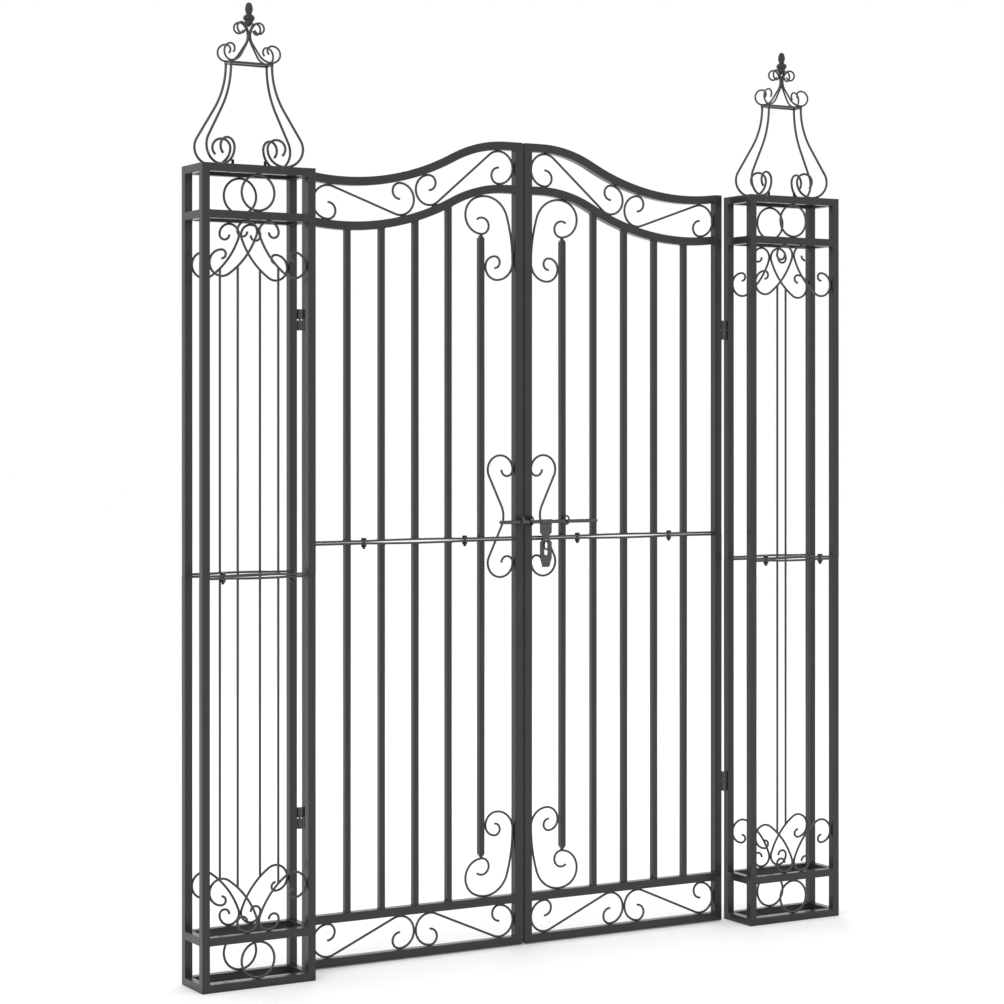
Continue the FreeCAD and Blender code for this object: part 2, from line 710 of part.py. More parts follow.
def arch_solid(side, upper, lower, drop, start, end, width):
    """Solid between two lines of an arched rail, centred on the leaf."""
    above = arch_edge(side, upper, drop, start, end)
    below = arch_edge(side, lower, drop, start, end)

    def ends(edges):
        corners = [vertex.Point for edge in edges for vertex in edge.Vertexes]
        return (min(corners, key=lambda p: abs(p.x)), max(corners, key=lambda p: abs(p.x)))
    closing = [Part.LineSegment(a, b).toShape() for a, b in zip(ends(above), ends(below))]
    face = Part.Face(Part.Wire(Part.__sortEdges__(above + below + closing)))
    block = face.extrude(FreeCAD.Vector(0, width, 0))
    block.translate(FreeCAD.Vector(0, leaf_number(LEAF_Y) - width / 2, 0))
    return block


def arched_rails(label, side):
    """Top rail and its twin below, hollow, from stile to stile."""
    start = leaf_number(LEAF_NEAR) + val("leaf_tube")
    end = leaf_number(LEAF_FAR) - val("leaf_tube")
    size, wall = val("leaf_tube"), val("leaf_wall")
    pieces = []
    for drop in (0, val("arch_spacing")):
        outer = arch_solid(side, 0, size, drop, start, end, size)
        inner = arch_solid(side, wall, size - wall, drop, start, end, size - 2 * wall)
        pieces.append(solid(outer.cut(inner)))
    node("%s_leaf_arched_rails" % label, pieces)


def leaf_frame(label, side):
    """Two stiles, each in two lengths, and the two straight rails at the foot."""
    y = ("pillar_depth/2 - leaf_tube", BACK)
    hinge_top = arch_height(leaf_number(LEAF_FAR) - val("leaf_tube"))
    tops = {"meeting": ((LEAF_NEAR, LEAF_NEAR + " + leaf_tube"), "crest_level"),
            "hinge": ((LEAF_FAR + " - leaf_tube", LEAF_FAR), str(round(hinge_top, 3)))}
    for name, (x, top) in tops.items():
        pieces = [tube(side, "z", x, y, ("ground_gap + cap_thickness", "leaf_split"), "leaf_wall"),
                  tube(side, "z", x, y, ("leaf_split", top + " - cap_thickness"), "leaf_wall"),
                  box(side, x[0], x[1], y, ("ground_gap", "ground_gap + cap_thickness")),
                  box(side, x[0], x[1], y, (top + " - cap_thickness", top))]
        node("%s_leaf_%s_stile" % (label, name), pieces)
    x = (LEAF_NEAR + " + leaf_tube", LEAF_FAR + " - leaf_tube")
    levels = (("ground_gap", "ground_gap + leaf_tube"),
              ("lower_rail_top - leaf_tube", "lower_rail_top"))
    node("%s_leaf_base_rails" % label, [tube(side, "x", x, y, z, "leaf_wall") for z in levels])


def joint_flats(label, side):
    near = leaf_number(LEAF_NEAR) + val("leaf_tube")
    far = leaf_number(LEAF_FAR) - val("leaf_tube")
    flats = flat_pair(side, near, far, val("leaf_split"), leaf_number(LEAF_Y), val("leaf_bolt_offset"))
    node("%s_leaf_joint_flats" % label, flats)
    return flats


def joint_bolts(label, side):
    pieces = []
    for way in ("-", "+"):
        x = signed(side, "(%s %s leaf_bolt_offset)" % (LEAF_MIDDLE, way))
        pieces += bolt(x, LEAF_Y, "leaf_split + seam/2 + flat_thickness", "2*flat_thickness + seam",
                       "bolt_tail")
    node("%s_leaf_joint_bolts" % label, pieces)


def bar_tube(distance, side, bottom, top):
    size, wall = val("bar_size"), val("bar_wall")
    corner = FreeCAD.Vector(side * distance - size / 2, leaf_number(LEAF_Y) - size / 2, bottom)
    inner = FreeCAD.Vector(corner.x + wall, corner.y + wall, bottom)
    return Part.makeBox(size, size, top - bottom, corner).cut(
        Part.makeBox(size - 2 * wall, size - 2 * wall, top - bottom, inner))


def bar_distance(step):
    """The bars stand evenly about the leaf's middle; the pointed one is step -2."""
    pitch = (leaf_number(LEAF_MIDDLE) - leaf_number(LEAF_NEAR) - val("point_offset")) / 2
    return leaf_number(LEAF_MIDDLE) + step * pitch


def longest(shape):
    return max(shape.Solids, key=lambda part: part.BoundBox.ZLength)


def leaf_bars(label, side, flats):
    """Four full bars, cut to the bowed flats and to the underside of the arched rail."""
    near = leaf_number(LEAF_NEAR) + val("leaf_tube")
    far = leaf_number(LEAF_FAR) - val("leaf_tube")
    size = val("leaf_tube")
    arch = arch_solid(side, 0, size, val("arch_spacing"), near, far, size)
    pieces = []
    for step in (-1, 0, 1, 2):
        distance = bar_distance(step)
        reach = arch_height(distance) - val("arch_spacing") - size / 2
        upper = bar_tube(distance, side, val("leaf_split"), reach).cut(arch).cut(flats[0].Shape)
        lower = bar_tube(distance, side, val("lower_rail_top"), val("leaf_split")).cut(flats[1].Shape)
        pieces += [solid(longest(upper)), solid(longest(lower))]
    node("%s_leaf_bars" % label, pieces)


def pointed_bar(label, side, corner):
    """Short bar, in two lengths, drawn to a point at the curls of the corner scrolls."""
    distance = bar_distance(-2)
    flat_face = val("seam") / 2 + val("flat_thickness")
    curl = corner[1]
    touch = val("corner_curl") + val("scroll_wire") / 2 - val("weld_bite")
    bend_away = touch - math.sqrt(touch ** 2 - (distance - curl[0]) ** 2)
    upper_tip = curl[1] - touch + bend_away
    ends = {1: upper_tip, -1: corner_flip(corner) - upper_tip}
    pieces = []
    for up, tip in ends.items():
        foot = val("leaf_split") + up * flat_face
        shoulder = tip - up * val("point_length")
        squares = []
        for level, width in ((shoulder, val("bar_size")), (tip, val("point_size"))):
            spots = [FreeCAD.Vector(side * distance + a * width / 2, leaf_number(LEAF_Y) + b * width / 2, level)
                     for a, b in ((-1, -1), (1, -1), (1, 1), (-1, 1), (-1, -1))]
            squares.append(Part.makePolygon(spots))
        tip_solid = Part.makeLoft(squares, True)
        shaft = bar_tube(distance, side, min(foot, shoulder), max(foot, shoulder))
        pieces.append(solid(shaft.fuse(tip_solid)))
    node("%s_leaf_pointed_bar" % label, pieces)


def in_leaf(side):
    y = leaf_number(LEAF_Y)
    return lambda distance, z: FreeCAD.Vector(side * distance, y, z)


def top_curl(wall, way):
    """Curl in the arched panel that touches a wall and both sloping rails."""
    reach = val("scroll_wire") / 2 - val("weld_bite")
    clear = val("leaf_tube")
    radius = (val("arch_spacing") - clear) / 2 - reach
    for _ in range(6):
        distance = wall + way * (radius + reach)
        radius = (val("arch_spacing") * arch_tilt(distance) - clear) / 2 - reach
    middle = arch_height(distance, clear / 2) - val("arch_spacing") / 2
    return distance, middle, radius


def panel_scrolls(label, side):
    """Two S-scrolls in the arched panel and two in the straight panel at the foot."""
    near = leaf_number(LEAF_NEAR) + val("leaf_tube")
    far = leaf_number(LEAF_FAR) - val("leaf_tube")
    middle = leaf_number(LEAF_MIDDLE)
    reach = val("scroll_wire") / 2 - val("weld_bite")
    wire = val("scroll_wire")
    top = [wire_of(s_scroll(top_curl(middle, 1), top_curl(far, -1), True), wire, side),
           wire_of(s_scroll(top_curl(near, 1), top_curl(middle, -1), False), wire, side)]
    node("%s_leaf_top_scrolls" % label, top)
    floor = val("ground_gap") + val("leaf_tube")
    ceiling = val("lower_rail_top") - val("leaf_tube")
    radius = (ceiling - floor) / 2 - reach
    level = (ceiling + floor) / 2
    base = []
    for wall, way in ((near, 1), (far, -1)):
        outer = (wall + way * (radius + reach), level, radius)
        inner = (middle - way * (radius + reach), level, radius)
        pair = (outer, inner) if way > 0 else (inner, outer)
        base.append(wire_of(s_scroll(*pair, way > 0), wire, side))
    node("%s_leaf_base_scrolls" % label, base)


def wire_of(runs, wire, side):
    return solid(bend(runs, wire, in_leaf(side)))


def corner_circles():
    """Upper corner scroll, from its inner end to the eye beside the meeting stile."""
    reach = val("scroll_wire") / 2 - val("weld_bite")
    stile = leaf_number(LEAF_NEAR) + val("leaf_tube") + reach
    crown_x = leaf_number(LEAF_NEAR) + val("corner_offset")
    ceiling = arch_circles(val("leaf_tube"))[0]
    room = ceiling[2] - val("corner_crown") - reach
    crown_z = ceiling[1] - val("arch_spacing") + math.sqrt(room ** 2 - (crown_x - ceiling[0]) ** 2)
    crown = (crown_x, crown_z, val("corner_crown"), COUNTER)
    curl = nested(crown, val("corner_curl"), val("corner_lean"))
    eye_z = curl[1] - val("corner_spread")
    across, down = crown[0] - stile, crown[1] - eye_z
    sweep = (across ** 2 + down ** 2 - crown[2] ** 2) / (2 * (across - crown[2]))
    side_arc = (stile + sweep, eye_z, sweep, COUNTER)
    first = (stile + val("stile_curl"), eye_z, val("stile_curl"), COUNTER)
    second = nested(first, 0.71 * val("stile_curl"), -90)
    third = nested(second, 0.58 * val("stile_curl"), 0)
    return [nested(curl, 0.44 * val("corner_curl"), -90), curl, crown, side_arc, first, second, third,
            nested(third, 0.32 * val("stile_curl"), 90)]


def corner_flip(circles):
    """Twice the level about which the upper scroll turns over to rest on the rail."""
    crown = circles[2]
    reach = val("scroll_wire") / 2 - val("weld_bite")
    return crown[1] + crown[2] + val("lower_rail_top") + reach


def corner_scrolls(label, side):
    circles = corner_circles()
    flip = corner_flip(circles)
    runs = wire_path(circles, 50, -90)
    y = leaf_number(LEAF_Y)
    over = bend(runs, val("scroll_wire"), in_leaf(side))
    under = bend(runs, val("scroll_wire"), lambda d, z: FreeCAD.Vector(side * d, y, flip - z))
    node("%s_leaf_corner_scrolls" % label, [solid(over), solid(under)])
    return circles


def lyre_scroll(label, side):
    """Lyre beside the meeting stile, parted where it crosses the joint flats."""
    reach = val("scroll_wire") / 2 - val("weld_bite")
    stile = leaf_number(LEAF_NEAR) + val("leaf_tube")
    radius = val("lyre_curl")
    rise = val("lyre_height") / 2 - radius
    level = val("lyre_level")
    upper = (stile + reach + radius, level + rise, radius, CLOCKWISE)
    lower = (stile + reach + radius, level - rise, radius, CLOCKWISE)
    waist = (stile + val("lyre_reach") + val("lyre_waist"), level, val("lyre_waist"), COUNTER)
    eye = 0.45 * radius
    runs = wire_path([nested(upper, eye, 180), upper, waist, lower, nested(lower, eye, 180)], 0, 0)
    whole = bend(runs, val("scroll_wire"), in_leaf(side))
    flat_face = val("seam") / 2 + val("flat_thickness")
    pieces = []
    for up in (1, -1):
        deep = 2 * val("lyre_height")
        foot = val("leaf_split") + up * flat_face - (0 if up > 0 else deep)
        room = Part.makeBox(4 * stile + 4 * radius, 4 * val("leaf_tube"), deep,
                            FreeCAD.Vector(-2 * stile - 2 * radius, leaf_number(LEAF_Y) - 2 * val("leaf_tube"),
                                           foot))
        room.translate(FreeCAD.Vector(side * (stile + radius), 0, 0))
        pieces.append(solid(longest(whole.common(room))))
    node("%s_leaf_lyre_scroll" % label, pieces)


# ---------------------------------------------------------------- hinges

def hinges():
    """Lift-off hinges: a knuckle with its pin on the pillar, a blind sleeve on the leaf."""
    knuckles = []
    pins = []
    for label, side in SIDES.items():
        x = signed(side, HINGE_X)
        sleeves = []
        for level in ("hinge_lower", "hinge_upper"):
            reach = "(hinge_length/2 - hinge_slot/2)"
            foot = "(%s - hinge_length/2)" % level
            crown = "(%s + hinge_slot/2)" % level
            lug_y = ("%s - lug_width/2" % LEAF_Y, "%s + lug_width/2" % LEAF_Y)
            barrel = fuse(cylinder(x, LEAF_Y, foot, "knuckle_width/2", reach),
                          box(side, HINGE_X, PILLAR_NEAR, lug_y, (foot, foot + " + " + reach)))
            knuckles.append(cut(barrel, cylinder(x, LEAF_Y, foot + " + pin_land", "pin_size/2",
                                                 "hinge_length")))
            pins.append(cylinder(x, LEAF_Y, foot + " + pin_land", "pin_size/2",
                                 "hinge_length - 2*pin_land - pin_fit"))
            sleeve = fuse(cylinder(x, LEAF_Y, crown, "knuckle_width/2", reach),
                          box(side, LEAF_FAR, HINGE_X, lug_y, (crown, crown + " + " + reach)))
            sleeves.append(cut(sleeve, cylinder(x, LEAF_Y, crown, "pin_size/2 + pin_fit",
                                                reach + " - pin_land")))
        node("%s_leaf_hinge_sleeves" % label, sleeves)
    node("pillar_hinge_knuckles", knuckles)
    node("hinge_pins", pins)


# ---------------------------------------------------------------- latch

def latch():
    """Slide bolt through three rings, and a hasp that drops over a padlock staple."""
    ring_z = "(rod_level + ring_hole/2 - bolt_rod/2 - rod_play)"
    ring_size = ("ring_hole/2 + ring_wire/2", "ring_wire/2")
    stile_x = "(centre_gap/2 + leaf_tube/2)"
    bar_x = "(%s + point_offset)" % LEAF_NEAR
    node("left_leaf_keeper_ring", [torus("-" + stile_x, ROD_Y, ring_z, *ring_size, (1, 0, 0))])
    pad = box(1, bar_x + " - ring_wire/2", bar_x + " + ring_wire/2",
              (ROD_Y + " + ring_hole/2 + ring_wire/2", "pillar_depth/2 - leaf_tube/2 - bar_size/2"),
              (ring_z + " - ring_wire", ring_z + " + ring_wire"))
    node("right_leaf_guide_rings", [torus(stile_x, ROD_Y, ring_z, *ring_size, (1, 0, 0)),
                                    fuse(torus(bar_x, ROD_Y, ring_z, *ring_size, (1, 0, 0)), pad)])
    node("slide_bolt", [cylinder("-rod_reach", ROD_Y, "rod_level", "bolt_rod/2", "rod_length", "x")])
    hasp()
    staple(ring_size)


def hasp():
    """Plate with a padlock slot, hung on the bolt by a sleeve."""
    middle = val("hasp_near") + val("hasp_width") / 2
    rod_y = val("pillar_depth") / 2 - val("leaf_tube") - val("ring_hole") / 2 - val("ring_wire")
    thick, wide, neck = val("hasp_thickness"), val("hasp_width") / 2, val("hasp_neck") / 2
    ease = (wide - neck) / 2
    half = [(wide, 0), (wide, val("hasp_shoulder") - ease), (neck, val("hasp_shoulder") + ease),
            (neck, val("hasp_neck_end") - ease), (wide, val("hasp_neck_end") + ease),
            (wide, val("hasp_taper")), (neck, val("hasp_length"))]
    outline = half + [(-a, b) for a, b in reversed(half)] + half[:1]
    spots = [FreeCAD.Vector(middle + a, rod_y - thick / 2, val("rod_level") - b) for a, b in outline]
    plate = Part.Face(Part.makePolygon(spots)).extrude(FreeCAD.Vector(0, thick, 0))
    slot_half = val("slot_width") / 2
    for drop in (val("slot_start") + slot_half, val("slot_end") - slot_half):
        end = FreeCAD.Vector(middle, rod_y - thick, val("rod_level") - drop)
        plate = plate.cut(Part.makeCylinder(slot_half, 2 * thick, end, FreeCAD.Vector(0, 1, 0)))
    length = val("slot_end") - val("slot_start") - val("slot_width")
    corner = FreeCAD.Vector(middle - slot_half, rod_y - thick, val("rod_level") - val("slot_end") + slot_half)
    plate = plate.cut(Part.makeBox(val("slot_width"), 2 * thick, length, corner))
    start = FreeCAD.Vector(val("hasp_near"), rod_y, val("rod_level"))
    along = FreeCAD.Vector(1, 0, 0)
    outer = Part.makeCylinder(val("bolt_rod") / 2 + val("sleeve_wall"), val("hasp_width"), start, along)
    bore = Part.makeCylinder(val("bolt_rod") / 2 + val("pin_fit"), val("hasp_width"), start, along)
    node("hasp_plate", [solid(outer.fuse(plate).cut(bore).removeSplitter())])


def staple(ring_size):
    """Ring for the padlock, held out in front by a lug under the joint flat."""
    x = "hasp_near + hasp_width/2"
    y = "(%s - staple_offset)" % ROD_Y
    roof = "(leaf_split - seam/2 - flat_thickness)"
    outer = "(ring_hole/2 + ring_wire)"
    lug = box(1, x + " - ring_wire/2", x + " + ring_wire/2",
              ("%s + ring_hole/2" % y, "pillar_depth/2 - leaf_tube/2 - flat_width/2 + staple_lug_grip"),
              (roof + " - staple_lug", roof))
    ring = torus(x, y, "%s - %s" % (roof, outer), *ring_size, (1, 0, 0))
    node("padlock_staple", [fuse(ring, lug)])


# ---------------------------------------------------------------- build and export

for label, side in SIDES.items():
    pillar_posts(label, side)
    pillar_rails(label, side)
    pillar_rings(label, side)
    pillar_rods(label, side, pillar_joint(label, side), *pillar_scrolls(label, side))
    finial(label, side)
    leaf_frame(label, side)
    arched_rails(label, side)
    flats = joint_flats(label, side)
    joint_bolts(label, side)
    leaf_bars(label, side, flats)
    panel_scrolls(label, side)
    pointed_bar(label, side, corner_scrolls(label, side))
    lyre_scroll(label, side)
pillar_bolts()
hinges()
latch()
doc.recompute()

for item in doc.Objects:
    if "Invalid" in item.State or "Error" in item.State:
        raise RuntimeError("%s failed: %s" % (item.Name, item.State))
for name, part in nodes.items():
    if part.Shape.isNull() or not part.Shape.isValid() or not part.Shape.Solids:
        raise RuntimeError("%s has no valid solid" % name)
    part.Shape.exportStep("parts/%s.step" % name)
print("wrote %d parts" % len(nodes))
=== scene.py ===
import bpy
import bmesh
import json
import math
import random
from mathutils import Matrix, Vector
from mathutils.bvhtree import BVHTree


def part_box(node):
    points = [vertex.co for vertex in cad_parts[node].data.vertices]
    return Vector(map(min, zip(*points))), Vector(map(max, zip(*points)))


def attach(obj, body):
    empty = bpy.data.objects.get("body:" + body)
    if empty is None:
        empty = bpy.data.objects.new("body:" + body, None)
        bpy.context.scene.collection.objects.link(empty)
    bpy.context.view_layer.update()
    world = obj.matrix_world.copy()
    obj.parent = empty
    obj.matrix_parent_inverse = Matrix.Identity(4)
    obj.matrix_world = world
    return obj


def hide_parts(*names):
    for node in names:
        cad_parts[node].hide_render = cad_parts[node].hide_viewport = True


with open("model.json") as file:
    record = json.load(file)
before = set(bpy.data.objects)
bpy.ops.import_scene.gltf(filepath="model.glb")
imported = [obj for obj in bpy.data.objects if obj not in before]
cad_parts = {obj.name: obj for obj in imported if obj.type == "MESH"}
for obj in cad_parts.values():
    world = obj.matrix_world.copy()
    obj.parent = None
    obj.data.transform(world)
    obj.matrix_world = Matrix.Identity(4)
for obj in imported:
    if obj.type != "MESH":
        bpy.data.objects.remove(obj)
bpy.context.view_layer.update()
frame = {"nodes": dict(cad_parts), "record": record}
random.seed(7)

# camera

camera = {
    "place": (-3.3254, -5.5577, 1.3587),
    "turn": 30.2,       # degrees towards the right-hand pillar
    "lens": 88.7,
    "sensor": 36,
    "near": 0.05,
    "far": 60,
    "shiftY": -0.0729,
}


def makeCamera():
    data = bpy.data.cameras.new("camera")
    data.lens = camera["lens"]
    data.sensor_width = camera["sensor"]
    data.shift_y = camera["shiftY"]
    data.clip_start = camera["near"]
    data.clip_end = camera["far"]
    lookout = bpy.data.objects.new("camera", data)
    lookout.location = camera["place"]
    lookout.rotation_euler = (math.radians(90), 0, math.radians(-camera["turn"]))
    bpy.context.collection.objects.link(lookout)
    bpy.context.scene.camera = lookout


makeCamera()
print("camera placed")

# light and floor

studio = {
    "sky": (1.0, 1.0, 1.0),
    "skyPower": 1.0,
    "panels": {
        "keyPanel": {"place": (-5.0, -3.0, 4.2), "size": 3.0, "power": 70},
        "backPanel": {"place": (2.5, 4.5, 4.0), "size": 3.0, "power": 60},
    },
    "aim": (0, 0, 1.1),
    "floorReach": 30,
    "floorShade": (0.90, 0.90, 0.90),
    "floorGlow": 0.12,
    "floorGloss": 0.1,
    "mottleSize": 0.9,
    "poreSize": 0.004,
}


def aimAt(thing, target):
    thing.rotation_mode = "QUATERNION"
    thing.rotation_quaternion = (Vector(target) - thing.location).to_track_quat("-Z", "Y")


def makeLights():
    world = bpy.data.worlds.new("studio")
    bpy.context.scene.world = world
    world.use_nodes = True
    sky = world.node_tree.nodes["Background"]
    sky.inputs["Color"].default_value = (*studio["sky"], 1)
    sky.inputs["Strength"].default_value = studio["skyPower"]
    for name, panel in studio["panels"].items():
        data = bpy.data.lights.new(name, "AREA")
        data.size = panel["size"]
        data.energy = panel["power"]
        lamp = bpy.data.objects.new(name, data)
        lamp.location = panel["place"]
        aimAt(lamp, studio["aim"])
        bpy.context.collection.objects.link(lamp)
    bpy.context.scene.view_settings.view_transform = "Standard"


makeLights()
print("lights set")

# shader helpers


class Value:
    # a socket that can be written into sums
    def __init__(self, graph, socket):
        self.graph = graph
        self.socket = socket

    def maths(self, operation, other, turned=False):
        pair = (other, self) if turned else (self, other)
        return self.graph.add("ShaderNodeMath", {"operation": operation}, {0: pair[0], 1: pair[1]})

    def __add__(self, other):
        return self.maths("ADD", other)

    def __radd__(self, other):
        return self.maths("ADD", other)

    def __sub__(self, other):
        return self.maths("SUBTRACT", other)

    def __rsub__(self, other):
        return self.maths("SUBTRACT", other, True)

    def __mul__(self, other):
        return self.maths("MULTIPLY", other)

    def __rmul__(self, other):
        return self.maths("MULTIPLY", other)

    def __pow__(self, other):
        return self.maths("POWER", other)

    def clamped(self):
        return self.graph.add("ShaderNodeClamp", {}, {"Value": self})


class Graph:
    def __init__(self, name):
        self.material = bpy.data.materials.new(name)
        self.material.use_nodes = True
        self.tree = self.material.node_tree
        self.shader = self.tree.nodes["Principled BSDF"]

    def add(self, kind, settings, inputs, output=0):
        node = self.tree.nodes.new(kind)
        for key, setting in settings.items():
            if key == "stops":
                self.setStops(node.color_ramp, setting)
            else:
                setattr(node, key, setting)
        self.fill(node, inputs)
        return Value(self, node.outputs[output])

    def setStops(self, ramp, stops):
        while len(ramp.elements) < len(stops):
            ramp.elements.new(0.5)
        for element, (place, shade) in zip(ramp.elements, stops):
            element.position = place
            element.color = (shade, shade, shade, 1)

    def fill(self, node, inputs):
        for key, value in inputs.items():
            if isinstance(value, Value):
                self.tree.links.new(value.socket, node.inputs[key])
            else:
                node.inputs[key].default_value = value

    def finish(self, inputs):
        self.fill(self.shader, inputs)
        return self.material

    def place(self):
        return self.add("ShaderNodeTexCoord", {}, {}, "Object")

    def noise(self, size, detail=2.0, roughness=0.5):
        # size is the width of one lump, in metres
        inputs = {"Vector": self.place(), "Scale": 1 / size, "Detail": detail, "Roughness": roughness}
        return self.add("ShaderNodeTexNoise", {"normalize": True}, inputs, "Fac")

    def ramp(self, value, stops):
        return self.add("ShaderNodeValToRGB", {"stops": stops}, {"Fac": value}, "Color")

    def mixColour(self, mask, dark, light):
        settings = {"data_type": "RGBA"}
        return self.add("ShaderNodeMix", settings, {0: mask, 6: dark, 7: light}, 2)

    def facing(self, axis):
        normal = self.add("ShaderNodeNewGeometry", {}, {}, "Normal")
        return self.add("ShaderNodeSeparateXYZ", {}, {0: normal}, axis)

    def bump(self, height, depth, strength=1.0, below=None):
        inputs = {"Height": height, "Distance": depth, "Strength": strength}
        if below:
            inputs["Normal"] = below
        return self.add("ShaderNodeBump", {}, inputs)


# finishes

coat = {
    "black": (0.0195, 0.0195, 0.0200, 1),
    "grey": (0.0280, 0.0280, 0.0285, 1),
    "dust": (0.085, 0.082, 0.076, 1),
    "peelSize": 0.0013,      # width of one orange-peel dimple
    "peelDepth": 0.000016,
    "grainSize": 0.0004,
    "grainDepth": 0.000005,
    "cloudSize": 0.11,       # slow change from one shade of black to the other
    "speckSize": 0.0022,
    "streakSize": 0.018,
    "cloudGloss": 0.10,      # how far clouds and specks move the roughness
    "speckGloss": 0.05,
    "speckDust": 0.03,
    "dustGloss": 0.35,
    "rubbed": (0.045, 0.045, 0.046, 1),
    "rough": 0.26,
    "gloss": 0.36,
}


def powderCoat(name, dust=0.25, peel=1.0, rough=0.0, scuffs=0.06, gloss=1.0):
    graph = Graph(name)
    cloud = graph.noise(coat["cloudSize"], 4.0, 0.6)
    speck = graph.noise(coat["speckSize"], 3.0, 0.7)
    streak = graph.noise(coat["streakSize"], 5.0, 0.65)
    peelHeight = graph.noise(coat["peelSize"], 1.0)
    grain = graph.noise(coat["grainSize"], 2.0)
    upward = graph.facing("Z").clamped()
    settled = graph.ramp(streak * 0.6 + speck * 0.4, [(0.40, 0.0), (0.72, 1.0)])
    dusty = (upward ** 2.0) * settled * dust
    rubbed = graph.ramp(streak * 0.55 + grain * 0.45, [(0.56, 0.0), (0.66, 1.0)]) * scuffs
    base = graph.mixColour(cloud, coat["black"], coat["grey"])
    worn = graph.mixColour(rubbed, base, coat["rubbed"])
    colour = graph.mixColour((dusty + speck * coat["speckDust"] * dust).clamped(), worn, coat["dust"])
    roughness = coat["rough"] + rough + (cloud - 0.5) * coat["cloudGloss"]
    roughness = roughness + (speck - 0.5) * coat["speckGloss"] + dusty * coat["dustGloss"]
    fine = graph.bump(grain, coat["grainDepth"] * peel)
    dimpled = graph.bump(peelHeight, coat["peelDepth"] * peel, 1.0, fine)
    graph.shader.inputs["Specular IOR Level"].default_value = coat["gloss"] * gloss
    return graph.finish({"Base Color": colour, "Roughness": roughness.clamped(), "Normal": dimpled})


steel = {
    "bare": (0.42, 0.41, 0.40, 1),
    "grease": (0.045, 0.036, 0.022, 1),
    "filmSize": 0.006,
    "turnedSize": 0.0007,
    "turnedDepth": 0.00003,
    "metallic": 0.8,
}


def greasedSteel(name):
    graph = Graph(name)
    film = graph.ramp(graph.noise(steel["filmSize"], 4.0, 0.6), [(0.42, 0.0), (0.62, 1.0)])
    turned = graph.noise(steel["turnedSize"], 3.0)
    colour = graph.mixColour(film, steel["bare"], steel["grease"])
    roughness = 0.28 + turned * 0.2 + film * 0.15
    ridges = graph.bump(turned, steel["turnedDepth"])
    graph.shader.inputs["Metallic"].default_value = steel["metallic"]
    return graph.finish({"Base Color": colour, "Roughness": roughness.clamped(), "Normal": ridges})


latch = {
    "scratchSize": 0.0035,
    "cloudSize": 0.03,
    "bare": (0.14, 0.135, 0.13, 1),
    "smoother": 0.12,        # below the roughness of the frame's coat
    "gloss": 0.8,
    "wear": 0.7,
}


def wornCoat(name):
    # black finish rubbed through to dull steel on high spots, for the sliding latch parts
    graph = Graph(name)
    scratch = graph.ramp(graph.noise(latch["scratchSize"], 6.0, 0.7), [(0.55, 0.0), (0.68, 1.0)])
    cloud = graph.noise(latch["cloudSize"], 3.0, 0.6)
    peelHeight = graph.noise(coat["peelSize"], 1.0)
    wear = (scratch * cloud * latch["wear"]).clamped()
    base = graph.mixColour(cloud, coat["black"], coat["grey"])
    colour = graph.mixColour(wear, base, latch["bare"])
    roughness = coat["rough"] - latch["smoother"] + cloud * 0.12 - wear * 0.08
    graph.shader.inputs["Specular IOR Level"].default_value = latch["gloss"]
    inputs = {"Base Color": colour, "Roughness": roughness.clamped(), "Metallic": wear * 0.8,
              "Normal": graph.bump(peelHeight - scratch * 0.5, coat["peelDepth"])}
    return graph.finish(inputs)


def floorFinish():
    graph = Graph("paleFloor")
    mottle = graph.noise(studio["mottleSize"], 4.0, 0.55)
    pores = graph.noise(studio["poreSize"], 3.0, 0.6)
    pale = (*studio["floorShade"], 1)
    paler = (*[min(1.0, shade * 1.03) for shade in studio["floorShade"]], 1)
    colour = graph.mixColour(mottle, pale, paler)
    graph.shader.inputs["Specular IOR Level"].default_value = studio["floorGloss"]
    graph.shader.inputs["Emission Color"].default_value = (1, 1, 1, 1)
    graph.shader.inputs["Emission Strength"].default_value = studio["floorGlow"]
    return graph.finish({"Base Color": colour, "Roughness": 0.8 + pores * 0.15,
                         "Normal": graph.bump(pores, 0.0001)})


finishes = {
    "frameCoat": powderCoat("frameCoat", dust=0.2),
    "scrollCoat": powderCoat("scrollCoat", dust=0.3, peel=0.4, rough=-0.05, gloss=1.7),
    "flatsCoat": powderCoat("flatsCoat", dust=0.45, rough=-0.03, gloss=1.7),
    "castCoat": powderCoat("castCoat", dust=0.3, peel=1.8, rough=0.05),
    "beadCoat": powderCoat("beadCoat", dust=0.3, peel=1.4, rough=0.02, scuffs=0.2),
    "boltCoat": powderCoat("boltCoat", dust=0.35, peel=0.5, rough=-0.08, scuffs=0.3),
    "latchCoat": wornCoat("latchCoat"),
    "pinSteel": greasedSteel("pinSteel"),
}


def makeFloor():
    reach = studio["floorReach"]
    mesh = bpy.data.meshes.new("floor")
    corners = [(-reach, -reach, 0), (reach, -reach, 0), (reach, reach, 0), (-reach, reach, 0)]
    mesh.from_pydata(corners, [], [(0, 1, 2, 3)])
    mesh.materials.append(floorFinish())
    floor = bpy.data.objects.new("floor", mesh)
    bpy.context.collection.objects.link(floor)


makeFloor()
print("floor laid")

# every CAD node gets its finish

finishByWord = [("hinge_pins", "pinSteel"), ("bolts", "boltCoat"), ("slide_bolt", "latchCoat"),
                ("hasp", "latchCoat"), ("staple", "latchCoat"), ("guide_rings", "latchCoat"),
                ("keeper", "latchCoat"), ("knuckles", "latchCoat"), ("sleeves", "latchCoat"),
                ("scroll", "scrollCoat"), ("rings", "scrollCoat"), ("rods", "scrollCoat"),
                ("crown", "scrollCoat"), ("cage", "scrollCoat"), ("spire", "castCoat"),
                ("flats", "flatsCoat")]


